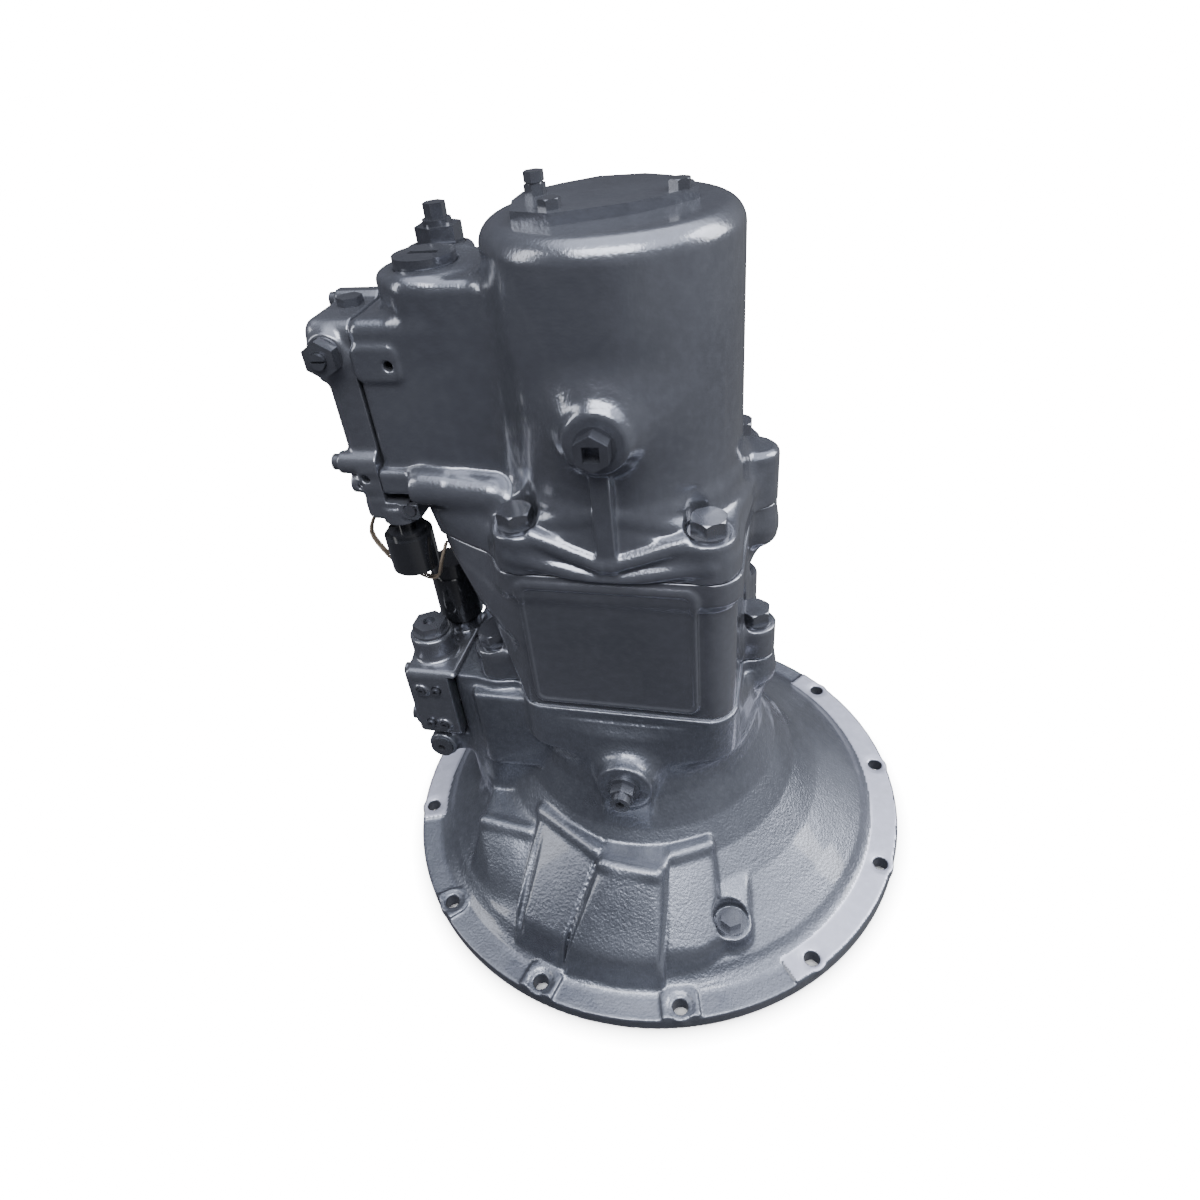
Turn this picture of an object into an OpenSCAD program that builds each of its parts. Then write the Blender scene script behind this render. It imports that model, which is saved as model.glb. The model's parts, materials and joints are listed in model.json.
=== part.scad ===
// Tandem swash-plate axial-piston pump standing on its bell-housing flange.
// Axes: +Z up along the shaft, origin at the centre of the flange mounting face, -Y is the front.

/* [Bell housing flange] */
// Radius of the round mounting flange
flange_r = 244.5; // [243:0.5:248]
// Thickness of the cast flange plate
flange_t = 14; // [12:0.5:14.5]
// Radius of the bolt circle
bolt_circle_r = 233.35; // [232.5:0.05:234]
// Radius of the twelve flange holes
flange_hole_r = 6.35; // [5.5:0.05:6.8]
// Radius of the locating spigot under the flange
pilot_r = 223.8; // [222:0.1:224]
// Height of the locating spigot
pilot_h = 5; // [3:0.5:6]

/* [Cover and ports] */
// Thickness of the top cover plate
cover_t = 7; // [6:0.5:9]
// Radius of the suction port bore
suction_r = 32; // [28:1:34]
// Radius of the two delivery port bores
delivery_r = 9; // [8:0.25:9.5]
// Depth of the threaded port bolt holes
port_tap_depth = 20; // [16:1:24]

/* [Pumping group] */
// Number of pistons in each cylinder block
pistons = 9; // [7:2:9]
// Radius of each piston
piston_r = 11.5; // [10:0.25:11.5]
// Radius of the circle the pistons stand on
piston_circle_r = 40; // [39:0.5:40.5]
// Radius of the input shaft's splined nose
nose_r = 19; // [18:0.5:20]
// Number of spline teeth on the nose
spline_teeth = 14; // [10:1:18]

/* [Fasteners] */
// Width across flats of the large case bolts
case_bolt_af = 24; // [22:0.5:24]
// Height of the large bolt heads
case_bolt_head = 11; // [9:0.5:12]
// Width across flats of the cover plate bolts
cover_bolt_af = 13; // [12:0.5:14]

/* [Hidden] */
$fn = 64;

seam_a = 215;
seam_b = 353;
gasket_t = 0.8;
top_z = 580;
case_r = 86.4;
servo_x = -134;
front_pivot = 126;
rear_pivot = 477;

// Bolt positions: seam bolts through the rear case, and seam bolts through the centre block ears
rear_bolt_xy = [[70, -75], [-70, -75], [76, 74], [-72, 74]];
ear_bolt_xy = [[99, 5], [-120, -47], [78, 78], [-88, 66]];
reg_bolt_yz = [[-26, 430], [30, 430], [30, 496], [-26, 470]];
control_bolt_yz = [[-52, 172], [16, 160], [-52, 206], [16, 206]];
cover_bolt_xy = [[-29, -35], [45, 2]];

module hexprism(af, h) { rotate([0, 0, 30]) cylinder(r = af / sqrt(3), h = h, $fn = 6); }
// A cylinder lying along an axis, starting at p and running in direction d ("x" or "y") for length h
module lie(p, d, r, h) {
    translate(p) rotate(d == "x" ? [0, 90, 0] : [-90, 0, 0]) cylinder(r = r, h = h);
}
module box(lo, hi) { translate(lo) cube(hi - lo); }
// Rounded rectangle prism
module rbox(lo, hi, r) {
    translate([0, 0, lo[2]]) linear_extrude(hi[2] - lo[2])
        translate([lo[0] + r, lo[1] + r]) offset(r) square([hi[0] - lo[0] - 2 * r, hi[1] - lo[1] - 2 * r]);
}
// The mirrored copy that belongs to the rear pump
module to_rear() { translate([0, 0, front_pivot + rear_pivot]) mirror([0, 0, 1]) children(); }
module at(points, z) { for (p = points) translate([p[0], p[1], z]) children(); }
module holes12(r, z, h) {
    for (k = [0 : 11]) rotate([0, 0, 15 + 30 * k]) translate([bolt_circle_r, 0, z])
        cylinder(r = r, h = h, $fn = 40);
}

// ---------------------------------------------------------------- castings
module terrace(top_z, top, mid_z, mid, foot) {
    hull() {
        translate([0, 0, top_z]) linear_extrude(2) polygon(top);
        translate([0, 0, mid_z]) linear_extrude(2) polygon(mid);
        translate([0, 0, 10]) linear_extrude(2) polygon(foot);
    }
}
module front_case_outer() {
    cylinder(r = flange_r, h = flange_t);
    translate([0, 0, -pilot_h]) cylinder(r = pilot_r, h = pilot_h + 1);
    rotate_extrude() polygon([[0, 5], [222, 5], [218, flange_t + 2], [208, 26], [188, 40], [164, 58],
        [140, 80], [122, 104], [109, 132], [101, 165], [96, 190], [0, 190]]);
    for (k = [0 : 11]) rotate([0, 0, 15 + 30 * k]) translate([bolt_circle_r - 10, -14, flange_t - 1])
        cube([20.5, 28, 3]);
    rbox([-92, -92, 170], [92, 92, seam_a - gasket_t], 24);
    // panel at the left of the front bulge
    terrace(74, [[-146, -60], [-146, -112], [-130, -119], [-93, -119], [-70, -60]],
        42, [[-154, -60], [-152, -132], [-128, -156], [-88, -168], [-70, -60]],
        [[-160, -60], [-158, -146], [-128, -174], [-90, -190], [-70, -60]]);
    // its middle panels
    terrace(96, [[-82, -60], [-84, -99], [-67, -104], [-20, -138], [-15, -60]],
        42, [[-80, -80], [-92, -180], [-41, -200], [-20, -80]],
        [[-86, -60], [-90, -197], [-44, -211], [-14, -60]]);
    terrace(96, [[-18, -60], [-18, -144], [-3, -155], [31, -153], [40, -138], [42, -60]],
        42, [[-18, -60], [-42, -202], [8, -207], [43, -202], [42, -60]],
        [[-18, -60], [-45, -212], [8, -217], [45, -212], [42, -60]]);
    // its right panel and the pad of the small plug
    terrace(96, [[38, -60], [40, -134], [57, -124], [74, -116], [76, -60]],
        42, [[38, -60], [44, -196], [74, -187], [88, -176], [88, -120], [76, -60]],
        [[38, -60], [45, -209], [80, -197], [92, -188], [90, -120], [76, -60]]);
    terrace(60, [[70, -110], [86, -142], [108, -132], [104, -100]],
        42, [[70, -110], [88, -176], [112, -164], [112, -100]],
        [[70, -110], [92, -188], [114, -172], [114, -100]]);
    // drain plug boss and the rib under it
    lie([2, -119, 154], "y", 24, 60);
    rbox([-20, -117, 60], [24, -60, 150], 5);
    // servo housing of the front pump, with the seat of its control block
    rbox([-164, -64, 40], [-60, 56, seam_a - gasket_t], 12);
    rbox([-150, -70, 52], [-70, 60, 205], 12);
    rbox([-141, -78, 117], [-70, 40, 204], 9);
    // ears for the bolts from the centre block
    at([ear_bolt_xy[0], ear_bolt_xy[2], ear_bolt_xy[3]], 176) cylinder(r = 18, h = seam_a - gasket_t - 176);
    translate([ear_bolt_xy[1][0], ear_bolt_xy[1][1], 176]) cylinder(r = 19, h = seam_a - gasket_t - 176);
    // boss of the small plug on the front bulge
    translate([96, -160, 10]) cylinder(r = 17, h = 34);
    // lug beside the control block
    lie([-190, -66, 120], "y", 14, 44);
    box([-190, -60, 108], [-150, -24, 133]);
}
module front_case() {
    color("slategray") difference() {
        front_case_outer();
        // bell interior, open at the bottom
        rotate_extrude() polygon([[0, -pilot_h - 1], [212, -pilot_h - 1], [210, 4], [196, 18], [172, 36],
            [146, 52], [126, 58], [0, 58]]);
        // pump chamber, bearing seat and seal bore
        translate([0, 0, 84]) cylinder(r = 78, h = 200);
        translate([0, 0, 66]) cylinder(r = 40, h = 30);
        translate([0, 0, 50]) cylinder(r = 31, h = 30);
        // servo bore and the window for the swash arm
        translate([servo_x, 0, 74]) cylinder(r = 22.05, h = 200);
        box([servo_x, -13, 108], [-60, 13, 184]);
        holes12(flange_hole_r, -10, 60);
        // room above the flange pads for bolt heads
        for (k = [0 : 11]) rotate([0, 0, 15 + 30 * k]) translate([bolt_circle_r, 0, flange_t + 2])
            cylinder(r = 11, h = 16, $fn = 20);
        at(ear_bolt_xy, 184) cylinder(r = 7.6, h = 60);
        // drain bores
        lie([2, -130, 154], "y", 8.1, 60);
        translate([96, -160, 36]) cylinder(r = 6.1, h = 40);
        translate([96, -160, 44]) cylinder(r = 15, h = 40);
        // seal retainer screws
        for (a = [45 : 90 : 359]) rotate([0, 0, a]) translate([44, 0, 50]) cylinder(r = 3, h = 24, $fn = 32);
        // oil feed holes to the control block and its bolts
        lie([-166, -10, 180], "x", 3, 30);
        lie([-190, -80, 120], "y", 7.1, 34);
        for (p = control_bolt_yz) lie([-170, p[0], p[1]], "x", 3.3, 26, $fn = 24);
    }
}
module centre_outer() {
    rbox([-90, -90, seam_a], [90, 90, seam_b - gasket_t], 22);
    rbox([-72, -93, 224], [63, -60, 346], 8);
    // spigot that carries the rear valve plate
    translate([0, 0, 300]) cylinder(r = 75.6, h = 88);
    // upper flange band and bolt bosses under the rear case
    rbox([-93, -91, 332], [93, 91, seam_b - gasket_t], 20);
    translate([96, 28, 318]) cylinder(r = 16, h = seam_b - gasket_t - 318);
    // ears for the bolts down into the front case
    at(ear_bolt_xy, seam_a) cylinder(r = 18, h = 30);
    box([-120, -64, seam_a], [-80, -30, 245]);
    // slanted shoulder on the left
    hull() {
        box([-150, -40, 330], [-90, 30, seam_b - gasket_t]);
        box([-98, -84, 290], [-80, 0, 300]);
    }
    // suction and delivery port faces at the back
    rbox([-50, 60, 234], [50, 104, 334], 10);
    box([34, 60, 218], [72, 103, 349]);
}
module kidney(a0, a1, r0, r1, z0, z1) {
    translate([0, 0, z0]) rotate([0, 0, a0]) rotate_extrude(angle = a1 - a0)
        translate([r0, 0]) square([r1 - r0, z1 - z0]);
}
module centre_block() {
    color("slategray") difference() {
        centre_outer();
        translate([0, 0, 200]) cylinder(r = 26, h = 200);
        // impeller chamber fed from the suction port
        translate([0, 0, 264]) cylinder(r = 58, h = 40);
        lie([0, 42, 284], "y", suction_r, 70);
        lie([0, 28, 284], "y", 36, 34);
        kidney(25, 155, 34, 46, 214, 265);
        kidney(25, 155, 34, 46, 303, 389);
        // delivery passages
        kidney(205, 335, 34, 46, 214, 240);
        kidney(205, 335, 34, 46, 326, 389);
        for (z = [231, 335]) {
            lie([34, -20, z], "x", 8, 24);
            lie([56, -31, z], "y", delivery_r, 150);
        }
        // taps for the suction and delivery flanges
        for (x = [-38.5, 38.5], z = [248, 320]) lie([x, 104 - port_tap_depth, z], "y", 5.1, 40);
        at(rear_bolt_xy, 312) cylinder(r = 7.6, h = 60);
        at(ear_bolt_xy, 200) cylinder(r = 8.75, h = 60);
        // spot faces under the ear bolts
        at(ear_bolt_xy, 245) cylinder(r = 16, h = 48);
    }
}
module rear_case_outer() {
    rotate_extrude() polygon([[0, seam_b], [case_r, seam_b], [case_r, 566], [case_r - 1.5, 571],
        [case_r - 5, 576], [case_r - 10, 579], [case_r - 15, top_z], [0, top_z]]);
    rbox([-92, -88, seam_b], [92, 88, 372], 22);
    at(rear_bolt_xy, seam_b) cylinder(r = 19, h = 31);
    // plain boss on the right corner
    translate([94, 28, seam_b]) cylinder(r = 18, h = 46);
    box([50, 10, seam_b], [96, 44, 392]);
    // shoulder up to the cylinder
    translate([0, 0, 372]) cylinder(r1 = 92, r2 = 86, h = 26);
    // inspection plug boss and the rib under it
    lie([2, -99, 462], "y", 22, 60);
    rbox([-7, -98, 372], [9, -60, 462], 3);
    // servo lobes
    rbox([-150, -40, 392], [-50, 52, 546], 12);
    translate([servo_x, 0, 392]) cylinder(r = 38, h = 156);
    translate([-145, 52, 420]) cylinder(r = 27, h = 128);
    rbox([-188, -40, 400], [-120, 44, 522], 8);
    // slanted shoulder on the left
    hull() {
        box([-150, -40, seam_b], [-70, 40, 356]);
        box([-160, -40, 396], [-70, 40, 400]);
    }
    lie([-160, -46, 398], "x", 13, 60);
    box([-187.7, -46, 387.5], [-150, -20, 409]);
}
module rear_case() {
    color("slategray") difference() {
        rear_case_outer();
        translate([0, 0, seam_b - 1]) cylinder(r = 76, h = 520.2 - seam_b);
        translate([0, 0, 510]) cylinder(r = 40, h = 27);
        translate([0, 0, 530]) cylinder(r = 26, h = 60);
        translate([servo_x, 0, 388]) cylinder(r = 22.05, h = 170);
        box([servo_x, -13, 419], [-60, 13, 495]);
        at(rear_bolt_xy, 340) cylinder(r = 8.75, h = 60);
        at(rear_bolt_xy, 384) cylinder(r = 16.2, h = 30);
        at(cover_bolt_xy, 562) cylinder(r = 3.4, h = 30);
        lie([2, -110, 462], "y", 10.1, 60);
        // recess and bore of the stop screw
        translate([-145, 58, 540]) cylinder(r = 19, h = 20);
        translate([-145, 58, 500]) cylinder(r = 8.1, h = 60);
        lie([-159, -50, 491], "y", 3.4, 30);
        lie([-220, 4, 440], "x", 4, 70);
        for (p = reg_bolt_yz) lie([-200, p[0], p[1]], "x", 3.3, 40);
        translate([-50, 7, 562]) cylinder(r = 4, h = 30);
    }
}
module front_gasket() {
    color("dimgray") difference() {
        union() {
            rbox([-90, -90, seam_a - gasket_t], [90, 90, seam_a], 22);
            at(ear_bolt_xy, seam_a - gasket_t) cylinder(r = 16, h = gasket_t);
            box([-120, -60, seam_a - gasket_t], [-80, -34, seam_a]);
        }
        translate([0, 0, 200]) cylinder(r = 78, h = 30);
        at(ear_bolt_xy, 200) cylinder(r = 8.75, h = 30);
    }
}
module rear_gasket() {
    color("dimgray") difference() {
        union() {
            rbox([-90, -87, seam_b - gasket_t], [90, 87, seam_b], 22);
            at(rear_bolt_xy, seam_b - gasket_t) cylinder(r = 16, h = gasket_t);
        }
        translate([0, 0, 340]) cylinder(r = 76, h = 30);
        at(rear_bolt_xy, 340) cylinder(r = 8.75, h = 30);
    }
}
module cover_plate() {
    color("slategray") difference() {
        translate([0, 0, top_z]) linear_extrude(cover_t) polygon([[-54, -38], [-26, -49], [19, -31], [37, -16],
            [57, 5], [50, 26], [33, 44], [14, 55], [-18, 55], [-41, 38], [-62, 16], [-62, -8]]);
        at(cover_bolt_xy, 570) cylinder(r = 4.4, h = 30);
        translate([-50, 7, 570]) cylinder(r = 4, h = 30);
    }
}

// ---------------------------------------------------------------- fasteners and plugs
module bolt(af, head, r, len, washer) {
    translate([0, 0, washer > 0 ? 3 : 0]) intersection() {
        hexprism(af, head);
        cylinder(r1 = af, r2 = af * 0.52, h = head);
    }
    if (washer > 0) cylinder(r = washer, h = 3.01);
    translate([0, 0, -len]) cylinder(r = r, h = len + 1);
}
module cover_bolts() { color("gray") at(cover_bolt_xy, top_z + cover_t) bolt(cover_bolt_af, 6, 3.3, 20, 0); }
module rear_case_bolts() { color("gray") at(rear_bolt_xy, 384) bolt(case_bolt_af, case_bolt_head, 7.5, 66, 15); }
module front_case_bolts() { color("gray") at(ear_bolt_xy, 245) bolt(case_bolt_af, case_bolt_head, 7.5, 56, 14.5); }
module air_bleeder() {
    color("gray") translate([-50, 7, top_z + cover_t]) {
        hexprism(13, 6.5);
        translate([0, 0, 6]) cylinder(r = 5.6, h = 2);
        translate([0, 0, 7.5]) hexprism(12, 6.5);
        translate([0, 0, -15]) cylinder(r = 3.9, h = 16);
    }
}
module upper_plug() {
    color("gray") translate([2, -99, 462]) rotate([90, 0, 0]) difference() {
        union() {
            translate([0, 0, -16]) cylinder(r = 10, h = 17);
            cylinder(r = 14, h = 3);
            translate([0, 0, 2]) hexprism(22, 12);
        }
        translate([-5.6, -5.6, 4]) cube([11.2, 11.2, 20]);
    }
}
module lower_plug() {
    color("gray") translate([2, -119, 154]) rotate([90, 0, 0]) difference() {
        union() {
            translate([0, 0, -16]) cylinder(r = 8, h = 17);
            cylinder(r = 14, h = 2.6);
            translate([0, 0, 2]) hexprism(19, 9);
            translate([0, 0, 10]) cylinder(r = 8.2, h = 8);
        }
        translate([0, 0, 8]) hexprism(7, 20);
    }
}
module case_plug() {
    color("gray") translate([96, -160, 44]) {
        cylinder(r = 13, h = 2.5);
        translate([0, 0, 2]) hexprism(17, 7);
        translate([0, 0, -7]) cylinder(r = 6, h = 8);
    }
}
module rear_servo_cap() {
    color("gray") translate([servo_x, 0, 548]) difference() {
        union() {
            translate([0, 0, -12]) cylinder(r = 21.9, h = 13);
            cylinder(r = 22.5, h = 8);
        }
        translate([-11, -3, 4]) cube([22, 6, 10]);
    }
}
module front_servo_cap() {
    color("gray") translate([servo_x, 0, seam_a - gasket_t]) {
        translate([0, 0, -4]) cylinder(r = 21.9, h = 5);
        cylinder(r = 23, h = 3);
        translate([0, 0, 2]) hexprism(24, 9);
    }
}
module servo_stop_nut() {
    color("gray") translate([-145, 58, 540]) difference() {
        union() {
            cylinder(r = 18, h = 7);
            translate([0, 0, 6]) hexprism(31, 15);
        }
        translate([0, 0, -1]) cylinder(r = 8.05, h = 30);
    }
}
module servo_stop_bolt() {
    color("gray") translate([-145, 58, 502]) {
        cylinder(r = 8, h = 60);
        translate([0, 0, 59]) cylinder(r = 11, h = 4);
        translate([0, 0, 62]) hexprism(15, 12);
    }
}

// ---------------------------------------------------------------- regulator on the rear pump
module regulator_body() {
    color("slategray") difference() {
        union() {
            rbox([-226, -34, 470], [-188, 44, 520], 10);
            rbox([-216, -38, 405], [-188, 40, 500], 8);
            lie([-208, -38, 498], "y", 15, 60);
            // back cross barrel, front cross barrel and lower cross barrel
            lie([-226, 30, 516], "x", 9, 38);
            lie([-222, -38, 412], "x", 9, 34);
            // bracket that holds the solenoid
            box([-206, -47, 366], [-188, 16, 410]);
            box([-206, -47, 366], [-160.3, -14, 384.5]);
            lie([-216, -38, 394], "x", 8, 20);
            translate([-183, -34, 352]) cylinder(r = 16, h = 20);
            lie([-168, -49, 376], "y", 8.8, 20);
        }
        // spool bore, pilot bores and screw bore
        translate([-203, 6, 390]) cylinder(r = 7.05, h = 150);
        lie([-208, -60, 498], "y", 6.05, 50);
        lie([-200, -60, 402], "y", 4, 20);
        lie([-207, -60, 395], "y", 3, 18);
        lie([-168, -60, 376], "y", 5, 26);
        for (p = reg_bolt_yz) {
            lie([-250, p[0], p[1]], "x", 3.6, 70);
            lie([-250, p[0], p[1]], "x", 6.5, 40);
        }
        translate([-183, -34, 340]) cylinder(r = 8, h = 30);
    }
}
module regulator_bolts() {
    color("gray") for (p = reg_bolt_yz) translate([-216, p[0], p[1]]) rotate([0, 90, 0]) difference() {
        union() {
            cylinder(r = 6.2, h = 6);
            cylinder(r = 3.2, h = 52);
        }
        translate([0, 0, -1]) hexprism(5, 4);
    }
}
module regulator_locknut() {
    color("gray") translate([-208, -38, 498]) rotate([90, 0, 0]) difference() {
        union() {
            cylinder(r = 13.5, h = 2);
            translate([0, 0, 1.5]) hexprism(24, 9.5);
        }
        translate([0, 0, -1]) cylinder(r = 6.3, h = 30);
    }
}
module regulator_screw() {
    color("gray") translate([-208, -52, 498]) rotate([-90, 0, 0]) difference() {
        cylinder(r = 6, h = 34);
        translate([-7, -0.9, -1]) cube([14, 1.8, 3.5]);
    }
}
module regulator_spool() {
    color("silver") translate([-203, 6, 424]) rotate_extrude() polygon([[0, 0], [7, 0], [7, 14], [4.5, 15],
        [4.5, 26], [7, 27], [7, 42], [4.5, 43], [4.5, 56], [7, 57], [7, 72], [0, 72]]);
}
module regulator_plugs() {
    color("gray") {
        translate([-203, 6, 512]) cylinder(r = 7, h = 8);
        translate([-203, 6, 520]) hexprism(17, 6);
        lie([-232, 30, 516], "x", 6, 6);
        lie([-227.5, -38, 412], "x", 6.5, 5.5);
        lie([-168, -50, 376], "y", 4.9, 6);
        translate([-203, 6, 391]) cylinder(r = 7, h = 7);
    }
}
module upper_solenoid() {
    color("black") translate([-183, -34, 0]) {
        translate([0, 0, 352]) cylinder(r = 7.8, h = 17);
        translate([0, 0, 346]) cylinder(r = 16, h = 6);
        translate([0, 0, 315]) cylinder(r = 20, h = 32);
    }
}
// Wire path: a slack loop under the solenoid, from its lead exit to the casting beside it
loop_points = [[-204, -14, 364], [-213, -23, 358], [-220, -28, 342], [-212, -30, 325], [-204, -26, 309],
    [-192, -24, 301], [-176, -31, 300], [-163, -37, 306], [-157, -38, 321], [-152.5, -30, 336]];
function loop_at(t) = let (i = min(len(loop_points) - 2, floor(t)), u = t - i, p1 = loop_points[i],
    p2 = loop_points[i + 1], p0 = loop_points[max(0, i - 1)], p3 = loop_points[min(len(loop_points) - 1, i + 2)])
    0.5 * ((2 * p1) + (p2 - p0) * u + (2 * p0 - 5 * p1 + 4 * p2 - p3) * u * u
        + (3 * p1 - p0 - 3 * p2 + p3) * u * u * u);
module wire(shift) {
    n = 3 * (len(loop_points) - 1);
    m = 8;
    pts = [for (i = [0 : n]) let (c = loop_at(i / 3) + [0, shift, 0],
            d0 = loop_at(min(n / 3, i / 3 + 0.02)) - loop_at(max(0, i / 3 - 0.02)), d = d0 / norm(d0),
            s = cross(d, [0, 1, 0]), u = s / norm(s), v = cross(d, u))
        for (k = [0 : m - 1]) c + 1.3 * (cos(360 * k / m) * u + sin(360 * k / m) * v)];
    polyhedron(pts, concat([[for (k = [0 : m - 1]) k]], [[for (k = [m - 1 : -1 : 0]) n * m + k]],
        [for (i = [0 : n - 1], k = [0 : m - 1]) each [
            [i * m + k, (i + 1) * m + k, (i + 1) * m + (k + 1) % m],
            [i * m + k, (i + 1) * m + (k + 1) % m, i * m + (k + 1) % m]]]));
}
module solenoid_wires() { color("tan") { wire(0); wire(-3.4); } }

// ---------------------------------------------------------------- control block on the front pump
module control_block() {
    color("slategray") difference() {
        union() {
            rbox([-206, -70, 140], [-164, 26, 219], 8);
            translate([-186, -36, 200]) cylinder(r = 20, h = 42);
            translate([-172, 4, 214.6]) cylinder(r = 14.5, h = 15.4);
            lie([-212, -52, 150], "x", 11, 20);
        }
        translate([-186, -36, 155]) cylinder(r = 7.05, h = 120);
        translate([-186, -36, 230]) cylinder(r = 12.1, h = 40);
        translate([-172, 4, 215.6]) cylinder(r = 8, h = 40);
        lie([-186, -30, 180], "y", 3, 22);
        lie([-184, -10, 180], "x", 3, 30);
        for (p = control_bolt_yz) lie([-240, p[0], p[1]], "x", 3.6, 90);
        for (x = [-192, -178], z = [198, 156]) lie([x, -76, z], "y", 4.1, 14);
    }
}
module control_bolts() { color("gray") for (p = control_bolt_yz) {
    lie([-206, p[0], p[1]], "x", 3.2, 50);
    lie([-212, p[0], p[1]], "x", 6.2, 6.01);
} }
module control_hex_plug() {
    color("gray") translate([-186, -36, 242]) difference() {
        union() {
            translate([0, 0, -11]) cylinder(r = 12, h = 12);
            cylinder(r = 17, h = 2.5);
            translate([0, 0, 2]) hexprism(27, 8);
        }
        translate([0, 0, 5]) cylinder(r = 5.5, h = 10);
    }
}
module control_plugs() {
    color("gray") {
        for (x = [-192, -178], z = [198, 156]) difference() {
            lie([x, -73, z], "y", 4, 10);
            lie([x, -74, z], "y", 2, 4);
        }
        lie([-217, -52, 150], "x", 7, 5);
        difference() {
            union() {
                lie([-190, -69, 120], "y", 11, 3);
                lie([-190, -66.5, 120], "y", 7, 16);
            }
            lie([-190, -70, 120], "y", 3.6, 9);
        }
    }
}
module control_spool() {
    color("silver") translate([-186, -36, 163]) rotate_extrude() polygon([[0, 0], [7, 0], [7, 12], [4.5, 13],
        [4.5, 24], [7, 25], [7, 38], [4.5, 39], [4.5, 50], [7, 51], [7, 60], [0, 60]]);
}
module lower_solenoid() {
    color("black") translate([-172, 4, 0]) {
        translate([0, 0, 216]) cylinder(r = 7.8, h = 16);
        translate([0, 0, 230]) cylinder(r = 16, h = 6);
        translate([0, 0, 235]) cylinder(r = 20, h = 47);
        translate([0, 0, 281]) cylinder(r1 = 18, r2 = 16, h = 14);
    }
}

// ---------------------------------------------------------------- servo pistons and swash plates
module servo_piston(z) {
    difference() {
        translate([servo_x, 0, z - 44]) cylinder(r = 22, h = 88);
        box([servo_x - 12, -10.5, z - 8.9], [servo_x + 9, 10.5, z + 8.9]);
        box([servo_x + 8, -10.5, z - 18], [servo_x + 30, 10.5, z + 18]);
    }
}
module front_servo_piston() { color("silver") servo_piston(front_pivot); }
module rear_servo_piston() { color("silver") servo_piston(rear_pivot); }
module swash() {
    difference() {
        union() {
            translate([0, 0, front_pivot - 20]) cylinder(r = 60, h = 12);
            for (s = [-1, 1]) intersection() {
                lie([0, s * 43 - 13, front_pivot], "y", 38, 26);
                box([-40, -70, 80], [40, 70, front_pivot - 12]);
            }
            // arm that ends in the pin held by the servo piston
            box([servo_x + 2, -8, front_pivot - 5], [-60, 8, front_pivot + 5]);
            box([-70, -8, front_pivot - 20], [-57, 8, front_pivot + 5]);
            lie([servo_x, -9, front_pivot], "y", 8, 18);
        }
        translate([0, 0, 80]) cylinder(r = 27, h = 60);
    }
}
module front_swash() { color("steelblue") swash(); }
module rear_swash() { color("steelblue") to_rear() swash(); }
module cradle() {
    difference() {
        union() {
            translate([0, 0, 84]) cylinder(r = 62, h = 3.4);
            for (s = [-1, 1]) box([-22, s * 43 - 13, 84], [22, s * 43 + 13, 100]);
        }
        lie([0, -80, front_pivot], "y", 38.4, 160);
        translate([0, 0, 80]) cylinder(r = 27, h = 60);
    }
}
module front_cradle() { color("peru") cradle(); }
module rear_cradle() { color("peru") to_rear() cradle(); }
module valve_plate() {
    difference() {
        translate([0, 0, 209.2]) cylinder(r = 58, h = 5.8);
        translate([0, 0, 200]) cylinder(r = 26, h = 30);
        kidney(25, 155, 35, 45, 200, 230);
        kidney(205, 335, 35, 45, 200, 230);
    }
}
module front_valve_plate() { color("goldenrod") valve_plate(); }
module rear_valve_plate() { color("goldenrod") to_rear() valve_plate(); }
module ring(r0, r1, z, h) {
    translate([0, 0, z]) difference() {
        cylinder(r = r1, h = h);
        translate([0, 0, -1]) cylinder(r = r0, h = h + 2);
    }
}
module front_bearing() { color("silver") ring(22.05, 39.9, 66, 18); }
module rear_bearing() { color("silver") ring(18.05, 39.9, 519, 18); }
module shaft_seal() { color("black") ring(22.3, 30.9, 58, 8); }
module seal_retainer() {
    color("gray") difference() {
        union() {
            ring(23, 52, 54, 4);
            for (a = [45 : 90 : 359]) rotate([0, 0, a]) translate([44, 0, 51]) cylinder(r = 5, h = 3.1);
            for (a = [45 : 90 : 359]) rotate([0, 0, a]) translate([44, 0, 57]) cylinder(r = 2.9, h = 14);
        }
        for (a = [45 : 90 : 359]) rotate([0, 0, a]) translate([44, 0, 50]) rotate([0, 0, 0]) hexprism(4, 2.6);
    }
}

// ---------------------------------------------------------------- rotating group
module input_shaft() {
    color("silver") {
        difference() {
            union() {
                translate([0, 0, 4]) cylinder(r = 14, h = 9);
                translate([0, 0, 12]) cylinder(r = nose_r, h = 36);
            }
            for (k = [0 : spline_teeth - 1]) rotate([0, 0, 360 * k / spline_teeth])
                translate([nose_r - 2, -2, 11]) cube([4, 4, 34]);
            translate([0, 0, 3]) cylinder(r = 4, h = 22);
        }
        translate([0, 0, 47.9]) cylinder(r = 22, h = 40);
        translate([0, 0, 87.8]) cylinder(r = 18, h = 152);
    }
}
module rear_shaft() {
    color("silver") {
        translate([0, 0, 246]) cylinder(r = 18, h = 294);
    }
}
module shaft_coupling() { color("gray") ring(18.02, 25.2, 222, 40); }
module impeller() {
    color("darkgray") difference() {
        union() {
            ring(18.02, 25, 268, 32);
            ring(18.02, 54, 268, 4);
            for (k = [0 : 6]) rotate([0, 0, 360 * k / 7]) translate([22, -2, 270]) rotate([0, 0, 12])
                cube([30, 4, 26]);
        }
        translate([0, 0, 200]) cylinder(r = 18.02, h = 150);
    }
}
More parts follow.
